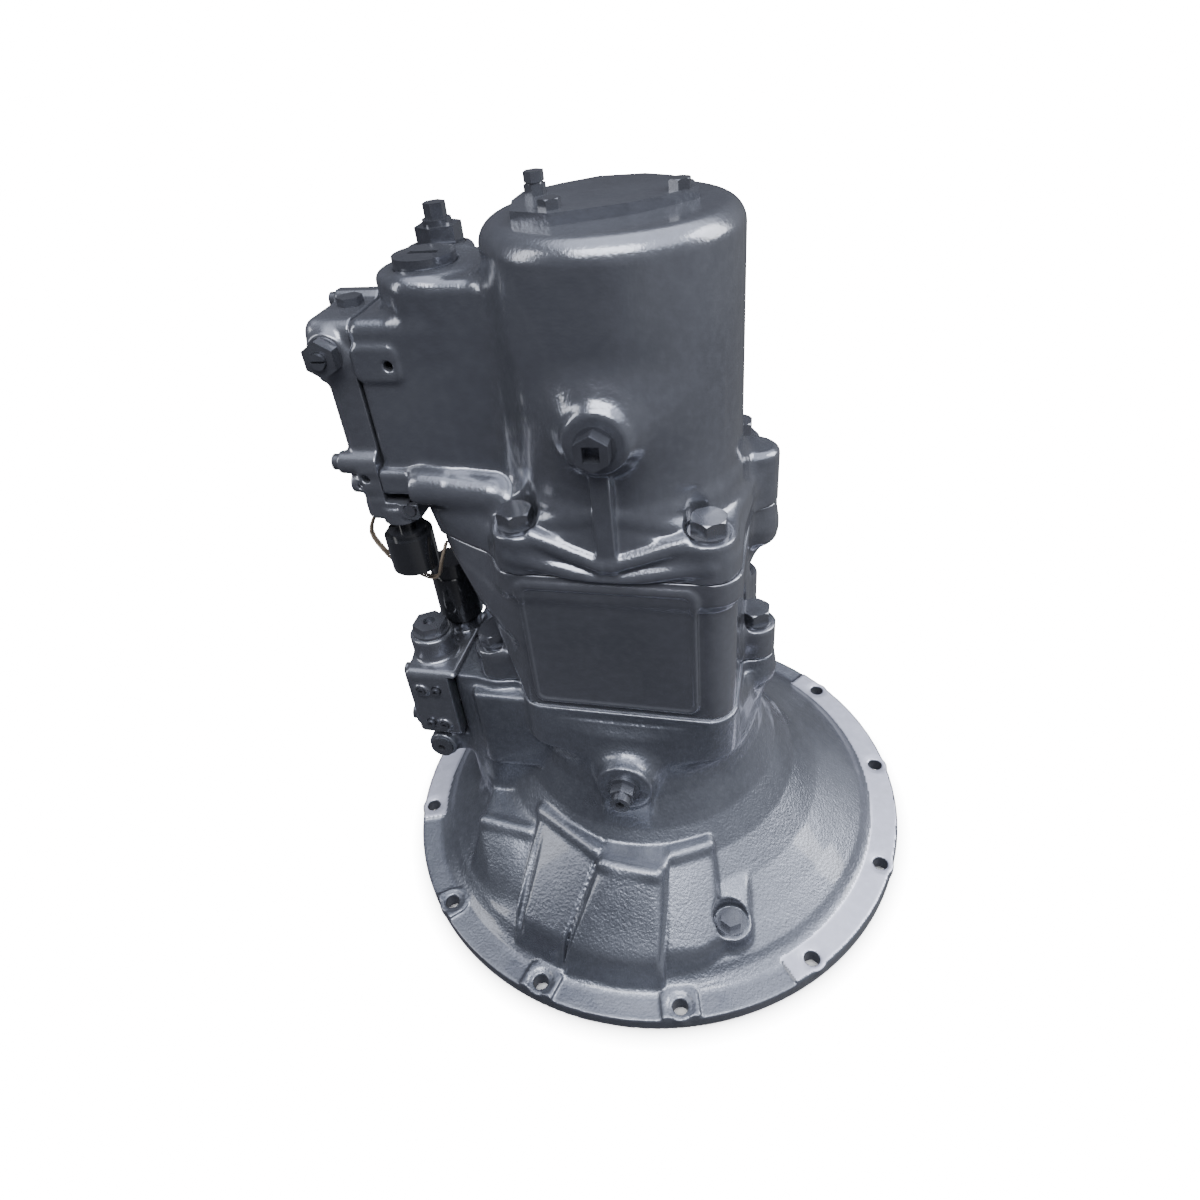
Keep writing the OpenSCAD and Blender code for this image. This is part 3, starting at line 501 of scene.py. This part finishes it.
def rear_case():
    cast = Casting((-192, -106, 350), (117, 100, 584), 1.3)
    cast.add(rod("z", (0, 0), 330, TOP, 86.4, 15))
    # flange, the web over it and the bolt bosses
    cast.add(block((-92, -90, 340), (92, 88, 371), 22, 4), 12)
    web = [(-80, -84), (-66, -90), (-50, -88), (-9, -80), (9, -80), (50, -88), (66, -90), (80, -84),
           (86, -70), (84, -35), (92, 8), (94, 44), (88, 78), (72, 88), (40, 80), (-40, 80),
           (-70, 88), (-86, 78), (-88, 0), (-86, -70)]
    cast.add(prism("z", web, 340, 384, 4.5, 4), 7)
    for c in REAR_BOLTS:
        cast.add(rod("z", c, 340, 384.5, 19, 3), 4)
    cast.add(rod("z", (94, 28), 340, 399, 19, 6), 9)
    cast.add(block((50, 10, 345), (96, 46, 393), 8, 6), 14)
    cast.add(rod("z", (0, 0), 372, 402, 92, 2, 86), 12)
    # ridges from the front bolts down to the rib
    for side in (-1, 1):
        cast.add(capsule((side * 56, -84, 381), (side * 4, -93, 366), 8, 7), 2)
        cast.add(capsule((side * 72, -88, 366), (side * 4, -92, 352), 7, 7), 3)
        cast.add(capsule((side * 52, -72, 386), (side * 4, -84, 402), 9, 6), 4)
    # inspection plug boss with its dome, and the rib under it
    cast.add(rod("y", UPPER_PLUG, -99, -40, 20, 1.5), 6)
    cast.add(rod("y", (2, 466), -94, -40, 24, 5, 64), 16)
    cast.add(prism("z", [(-7, -60), (-6, -97), (8, -97), (9, -60)], 345, 462, 2), 3)
    # servo lobes
    cast.add(block((-150, -40, 388), (-40, 52, 547), 16, 9), 14)
    cast.add(rod("z", (SERVO_X, 0), 388, 548, 36, 6), 9)
    cast.add(rod("z", (-145, 52), 420, 548, 27, 5), 8)
    cast.add(block((-188, -40, 400), (-120, 44, 522), 10, 9, axis="x"), 8)
    cast.add(block((-188, -43, 478), (-150, -30, 506), 8, 4, axis="y"), 4)
    # slanted shoulder on the left, and the barrel along its top
    cast.add(solid([(-150, -42, 340), (-150, 40, 340), (-160, -44, 398), (-160, 40, 398), (-60, -86, 340),
                 (-60, 60, 340), (-70, -60, 398), (-70, 40, 398)], 8), 12)
    cast.add(capsule((-150, -46, 397), (-96, -50, 395), 14, 13), 9)
    cast.add(rod("x", (-46, 397), -160, -130, 13, 2), 4)
    cast.add(block((-200, -47, 387.5), (-146, -16, 409), 5, 3, axis="x"), 4)
    # inside
    cast.cut(rod("z", (0, 0), 330, 520.2, 76.5, 0.5))
    cast.cut(rod("z", (0, 0), 510, 537, 40, 0.5))
    cast.cut(rod("z", (0, 0), 530, 600, 26, 0.5))
    cast.cut(rod("z", (SERVO_X, 0), 388, 600, SERVO_BORE_R, 0.5))
    cast.cut(block((SERVO_X, -13.5, 418), (-60, 13.5, 496), 2, 1))
    for c in REAR_BOLTS:
        cast.cut(rod("z", c, 340, 400, 8.8, 0.3), 0.5)
        cast.cut(rod("z", c, 384, 414, 16.6, 2), 2)
    cast.cut(rod("y", UPPER_PLUG, -110, -50, 10.3, 0.3), 0.5)
    cast.cut(rod("z", SERVO_STOP, 540, 600, 19, 2), 1)
    cast.cut(rod("z", SERVO_STOP, 500, 560, 8.3, 0.3), 0.5)
    cast.cut(rod("y", (-159, 491), -60, -20, 3.6, 0.3), 2)
    cast.cut(beyond((-200, -110, 340), (120, 110, SEAM_B), "z", SEAM_B, -1), 0.4)
    cast.cut(beyond((-200, -60, 390), (-188, 60, 530), "x", -188, -1), 0.4)
    return cast.mesh()


def regulator_body():
    cast = Casting((-230, -54, 362), (-157, 48, 524), 1.0)
    cast.add(block((-226, -34, 470), (-180, 44, 520), 12, 8, axis="x"))
    cast.add(block((-216, -38, 405), (-180, 40, 500), 10, 8, axis="x"), 6)
    cast.add(rod("y", ADJUSTING_SCREW, -38, 22, 15.5, 2), 6)
    cast.add(rod("x", (30, 516), -226, -180, 9, 1.5), 4)
    cast.add(rod("x", (-38, 412), -222, -180, 9, 1.5), 5)
    cast.add(block((-206, -47, 366), (-180, 16, 410), 5, 3, axis="y"), 5)
    cast.add(block((-206, -47, 366), (-160.3, -14, 384.5), 5, 3, axis="y"), 3)
    cast.add(rod("x", (-38, 394), -216, -190, 8, 2), 4)
    cast.add(rod("z", UPPER_SOLENOID, 352, 376, 16, 1.5), 2)
    cast.add(rod("y", (-168, 376), -49, -29, 9.5, 1.5), 3)
    cast.cut(rod("y", ADJUSTING_SCREW, -60, -10, 6.3, 0.3), 0.5)
    cast.cut(rod("y", (-200, 402), -60, -40, 3.6, 0.3), 0.8)
    cast.cut(rod("y", (-207, 395), -60, -42, 3.0, 0.3), 0.8)
    cast.cut(rod("y", (-168, 376), -60, -34, 5.1, 0.3), 0.5)
    cast.cut(rod("z", UPPER_SOLENOID, 340, 370, 8.2, 0.3), 0.5)
    cast.cut(rod("z", (-203, 6), 390, 540, 7.3, 0.3), 0.5)
    for y, z in [(-26, 430), (30, 430), (30, 496), (-26, 470)]:
        cast.cut(rod("x", (y, z), -250, -210, 6.7, 0.3), 0.8)
        cast.cut(rod("x", (y, z), -250, -180, 3.6, 0.3), 0.3)
    cast.cut(beyond((-195, -60, 386.2), (-150, 60, 530), "x", -188.3), 0.3)
    cast.cut(beyond((-170, -60, 350), (-150, 60, 400), "x", -160.3), 0.3)
    return cast.mesh()


def control_block():
    cast = Casting((-216, -78, 137), (-156, 30, 246), 1.0)
    cast.add(block((-206, -70, 140), (-156, 26, 219), 7, 4, axis="x"))
    cast.add(rod("z", HEX_PLUG, 190, 242, 20, 3), 6)
    cast.add(rod("x", (-52, 150), -212, -190, 11, 2), 5)
    cast.add(rod("y", (-192, 198), -72.5, -60, 7, 1.5), 2)
    cast.add(rod("y", (-178, 156), -72.5, -60, 7, 1.5), 2)

    def against_case(x, y, z):
        return np.maximum(-164 - x, z - 214.6) + 0 * y
    cast.cut(((-164, -80, 130), (-150, 40, 214.6), against_case), 0.3)
    cast.add(rod("z", LOWER_SOLENOID, 214.6, 230, 14.5, 1), 1)
    cast.cut(rod("z", HEX_PLUG, 155, 280, 7.3, 0.3), 0.5)
    cast.cut(rod("z", HEX_PLUG, 230, 280, 12.3, 0.3), 0.5)
    cast.cut(rod("z", LOWER_SOLENOID, 215.6, 256, 8.2, 0.3), 0.5)
    for x in (-192, -178):
        for z in (198, 156):
            cast.cut(rod("y", (x, z), -76, -62, 4.3, 0.3), 0.5)
    for y, z in [(-52, 172), (16, 160), (-52, 206), (16, 206)]:
        cast.cut(rod("x", (y, z), -240, -150, 3.8, 0.3), 0.5)
    return cast.mesh()


# ------------------------------------------------------------------ materials
def material(name):
    m = bpy.data.materials.new(name)
    m.use_nodes = True
    return m, m.node_tree.nodes, m.node_tree.links, m.node_tree.nodes["Principled BSDF"]


def noise(nodes, links, scale, detail=3.0, stretch=(1, 1, 1)):
    """Noise in the part's own metres: scale is per metre."""
    where = nodes.new("ShaderNodeTexCoord")
    mapping = nodes.new("ShaderNodeMapping")
    mapping.inputs["Scale"].default_value = stretch
    links.new(where.outputs["Object"], mapping.inputs["Vector"])
    n = nodes.new("ShaderNodeTexNoise")
    n.inputs["Scale"].default_value = scale
    n.inputs["Detail"].default_value = detail
    links.new(mapping.outputs["Vector"], n.inputs["Vector"])
    return n


def spread(nodes, links, source, low, high, a, b):
    """Maps a 0 to 1 value between low and high onto a to b."""
    r = nodes.new("ShaderNodeMapRange")
    r.inputs["From Min"].default_value = low
    r.inputs["From Max"].default_value = high
    r.inputs["To Min"].default_value = a
    r.inputs["To Max"].default_value = b
    links.new(source, r.inputs["Value"])
    return r.outputs["Result"]


def mix_colour(nodes, links, factor, a, b):
    m = nodes.new("ShaderNodeMix")
    m.data_type = "RGBA"
    links.new(factor, m.inputs["Factor"])
    for socket, value in ((m.inputs[6], a), (m.inputs[7], b)):
        if isinstance(value, tuple):
            socket.default_value = (*value, 1)
        else:
            links.new(value, socket)
    return m.outputs[2]


def bumped(nodes, links, bsdf, layers):
    """Stacks bumps, each (height source, distance in metres, strength)."""
    last = None
    for source, distance, strength in layers:
        b = nodes.new("ShaderNodeBump")
        b.inputs["Distance"].default_value = distance
        b.inputs["Strength"].default_value = strength
        links.new(source, b.inputs["Height"])
        if last is not None:
            links.new(last, b.inputs["Normal"])
        last = b.outputs["Normal"]
    links.new(last, bsdf.inputs["Normal"])


def enamel(name, dark, light, grain, grain_size, rough=(0.2, 0.32), metallic=0.72, coat=0.6):
    """Blue-grey enamel over a sand-cast surface."""
    m, nodes, links, bsdf = material(name)
    tone = noise(nodes, links, 9.0, 4.0)
    fine = noise(nodes, links, 160.0, 2.0)
    shade = spread(nodes, links, tone.outputs["Fac"], 0.35, 0.65, 0, 1)
    base = mix_colour(nodes, links, shade, dark, light)
    speck = spread(nodes, links, fine.outputs["Fac"], 0.4, 0.75, 0.0, 0.25)
    speckled = mix_colour(nodes, links, speck, base, tuple(1.4 * c for c in light))
    links.new(speckled, bsdf.inputs["Base Color"])
    links.new(spread(nodes, links, tone.outputs["Fac"], 0.3, 0.7, *rough), bsdf.inputs["Roughness"])
    bsdf.inputs["Metallic"].default_value = metallic
    bsdf.inputs["Coat Weight"].default_value = coat
    bsdf.inputs["Coat Roughness"].default_value = 0.07
    sand = noise(nodes, links, grain_size, 2.0)
    wave = noise(nodes, links, 45.0, 1.0)
    bumped(nodes, links, bsdf, [(wave.outputs["Fac"], 0.003, 0.15), (sand.outputs["Fac"], 0.0009, grain)])
    return m


def metal(name, colour, rough, metallic=1.0, scratches=0.15):
    """Machined or painted metal with fine wear in its gloss."""
    m, nodes, links, bsdf = material(name)
    tone = noise(nodes, links, 60.0, 3.0)
    fine = noise(nodes, links, 420.0, 2.0, (1, 1, 0.3))
    shade = spread(nodes, links, tone.outputs["Fac"], 0.3, 0.7, 0, 1)
    darker = tuple(0.8 * c for c in colour)
    lighter = tuple(1.2 * c for c in colour)
    links.new(mix_colour(nodes, links, shade, darker, lighter), bsdf.inputs["Base Color"])
    links.new(spread(nodes, links, fine.outputs["Fac"], 0.3, 0.7, rough * 0.75, rough * 1.3),
              bsdf.inputs["Roughness"])
    bsdf.inputs["Metallic"].default_value = metallic
    bumped(nodes, links, bsdf, [(fine.outputs["Fac"], 0.0002, scratches)])
    return m


PAINT = enamel("enamel_cast", (0.125, 0.133, 0.160), (0.170, 0.180, 0.212), 0.22, 480.0, (0.16, 0.26))
PAINT_SMOOTH = enamel("enamel_fine", (0.130, 0.138, 0.162), (0.170, 0.178, 0.208), 0.10, 600.0,
                      (0.17, 0.27))
PAINT_ROUGH = enamel("enamel_sand", (0.110, 0.119, 0.146), (0.160, 0.172, 0.206), 0.55, 430.0, (0.26, 0.38))
HARDWARE = enamel("enamel_hardware", (0.085, 0.090, 0.110), (0.130, 0.137, 0.160), 0.03, 400.0, (0.2, 0.3))
FLANGE = enamel("flange_machined", (0.40, 0.41, 0.49), (0.47, 0.48, 0.57), 0.12, 500.0,
                (0.34, 0.44), 0.6, 0.1)
STEEL = metal("steel_ground", (0.52, 0.52, 0.53), 0.22)
BRONZE = metal("bronze", (0.42, 0.25, 0.10), 0.3)
FIBRE = metal("gasket_fibre", (0.42, 0.44, 0.50), 0.35, 0.4)
SHELL = enamel("solenoid_enamel", (0.010, 0.011, 0.013), (0.014, 0.015, 0.018), 0.03, 400.0,
               (0.12, 0.18), 0.0, 0.9)
RUBBER = metal("seal_rubber", (0.015, 0.015, 0.015), 0.6, 0.0, 0.2)
WIRE = metal("wire_jacket", (0.16, 0.13, 0.10), 0.4, 0.0, 0.2)

for wire in wires:
    wire.data.materials.append(WIRE)

SLOT_LOOKS = {
    "painted_casting": PAINT,
    "painted_hardware": HARDWARE,
    "machined_steel": STEEL,
    "bronze": BRONZE,
    "gasket": FIBRE,
    "rubber": RUBBER,
    "solenoid_shell": SHELL,
    "wire": WIRE,
}


def dress_nodes():
    """Gives every carried node the look of its slot in the record."""
    for part in frame["record"]["subparts"]:
        mesh = nodes[part["node"]].data
        mesh.materials.clear()
        mesh.materials.append(SLOT_LOOKS[part["material_slot"]])


def machined_lands(me):
    """Marks the flat faces of the rim's lands as machined."""
    count = len(me.polygons)
    normals = np.empty(3 * count, np.float32)
    centres = np.empty(3 * count, np.float32)
    me.polygons.foreach_get("normal", normals)
    me.polygons.foreach_get("center", centres)
    x, y, z = centres.reshape(-1, 3).T / MM
    angle = np.degrees(np.arctan2(y, x))
    turn = np.where(angle < -90, angle + 360, angle)
    on_land = sum(((turn > a0) & (turn < a1)).astype(int) for a0, a1 in LANDS) > 0
    flat = (normals.reshape(-1, 3)[:, 2] > 0.9) & (z > 15.4) & (z < 17.2) & (np.hypot(x, y) > 216)
    me.polygons.foreach_set("material_index", (flat & on_land).astype(np.int32))


dress_nodes()
bell = piece("front_case_cast", front_case(), PAINT_ROUGH, "front_case")
bell.data.materials.append(FLANGE)
machined_lands(bell.data)
piece("centre_block_cast", centre_block(), PAINT_SMOOTH, "centre_block")
piece("rear_case_cast", rear_case(), PAINT, "rear_case")
piece("regulator_cast", regulator_body(), PAINT_SMOOTH, "regulator_body")
piece("control_block_cast", control_block(), PAINT_SMOOTH, "control_block")


# ------------------------------------------------------------------ floor and light
def soft_box(name, place_at, aim, size, power):
    """A soft box: an area light at a place, aimed at a point."""
    data = bpy.data.lights.new(name, "AREA")
    data.shape = "RECTANGLE"
    data.size, data.size_y = size
    data.energy = power
    lamp = link(bpy.data.objects.new(name, data))
    lamp.location = place_at
    lamp.rotation_euler = (Vector(aim) - Vector(place_at)).to_track_quat("-Z", "Y").to_euler()


# painted shadow on the floor: between these radii in metres its glow rises from the first strength to the
# second
PAINTED_SHADOW_EDGE = (0.238, 0.262)
FLOOR_GLOW = (0.03, 16.0)
SKY_SIDES = (0.090, 0.093, 0.110, 1)
SKY_TOP = (2.7, 2.8, 3.05, 1)
SKY_LEAN = 0.28


def backdrop():
    """A pale floor that curves up into a wall behind the part."""
    z = cad_box[0][2] - 0.0002
    angles = np.radians(np.arange(0, 91, 7.5))
    bend = [(2.5 + 1.5 * math.sin(a), z + 1.5 - 1.5 * math.cos(a)) for a in angles]
    line = [(-6.0, z)] + bend + [(4.0, 6.0)]
    me = bpy.data.meshes.new("floor")
    verts = [(x, y, h) for y, h in line for x in (-8.0, 8.0)]
    me.from_pydata(verts, [], [(2 * i, 2 * i + 1, 2 * i + 3, 2 * i + 2) for i in range(len(line) - 1)])
    me.shade_smooth()
    floor = link(bpy.data.objects.new("floor", me))
    m, mat_nodes, links, bsdf = material("floor")
    bsdf.inputs["Base Color"].default_value = (0.9, 0.9, 0.9, 1)
    bsdf.inputs["Roughness"].default_value = 0.8
    bsdf.inputs["Emission Color"].default_value = (1, 1, 1, 1)
    # painted shadow: the floor's glow fades right under the part, where no light reaches
    where = mat_nodes.new("ShaderNodeTexCoord")
    reach = mat_nodes.new("ShaderNodeVectorMath")
    reach.operation = "LENGTH"
    links.new(where.outputs["Object"], reach.inputs[0])
    links.new(spread(mat_nodes, links, reach.outputs["Value"], *PAINTED_SHADOW_EDGE, *FLOOR_GLOW),
              bsdf.inputs["Emission Strength"])
    me.materials.append(m)
    floor.visible_glossy = False
    floor.visible_diffuse = False


def sky():
    """Dark round the sides, bright overhead, like a large soft box above the part."""
    world = bpy.data.worlds.new("world")
    world.use_nodes = True
    tree = world.node_tree
    where = tree.nodes.new("ShaderNodeTexCoord")
    split = tree.nodes.new("ShaderNodeSeparateXYZ")
    ramp = tree.nodes.new("ShaderNodeValToRGB")
    tree.links.new(where.outputs["Generated"], split.inputs["Vector"])
    # the bright part reaches lower on the right
    lean = tree.nodes.new("ShaderNodeMath")
    lean.operation = "MULTIPLY_ADD"
    lean.inputs[1].default_value = SKY_LEAN
    tree.links.new(split.outputs["X"], lean.inputs[0])
    tree.links.new(split.outputs["Z"], lean.inputs[2])
    tree.links.new(lean.outputs["Value"], ramp.inputs["Fac"])
    side = spread(tree.nodes, tree.links, split.outputs["X"], 0.0, 0.9, 0.0, 0.24)
    glow = tree.nodes.new("ShaderNodeVectorMath")
    glow.operation = "ADD"
    tree.links.new(ramp.outputs["Color"], glow.inputs[0])
    tree.links.new(side, glow.inputs[1])
    ramp.color_ramp.elements[0].position = 0.64
    ramp.color_ramp.elements[0].color = SKY_SIDES
    ramp.color_ramp.elements[1].position = 0.82
    ramp.color_ramp.elements[1].color = SKY_TOP
    tree.links.new(glow.outputs["Vector"], tree.nodes["Background"].inputs["Color"])
    tree.nodes["Background"].inputs["Strength"].default_value = 1.0
    bpy.context.scene.world = world


backdrop()
sky()
soft_box("top_box", (0.1, -1.0, 1.9), (0, 0, 0.3), (1.4, 0.8), 36)
soft_box("left_box", (-1.6, -0.6, 1.2), (0, 0, 0.3), (0.5, 1.2), 10)
soft_box("right_box", (1.5, 0.5, 1.3), (0, 0, 0.15), (0.9, 1.2), 30)
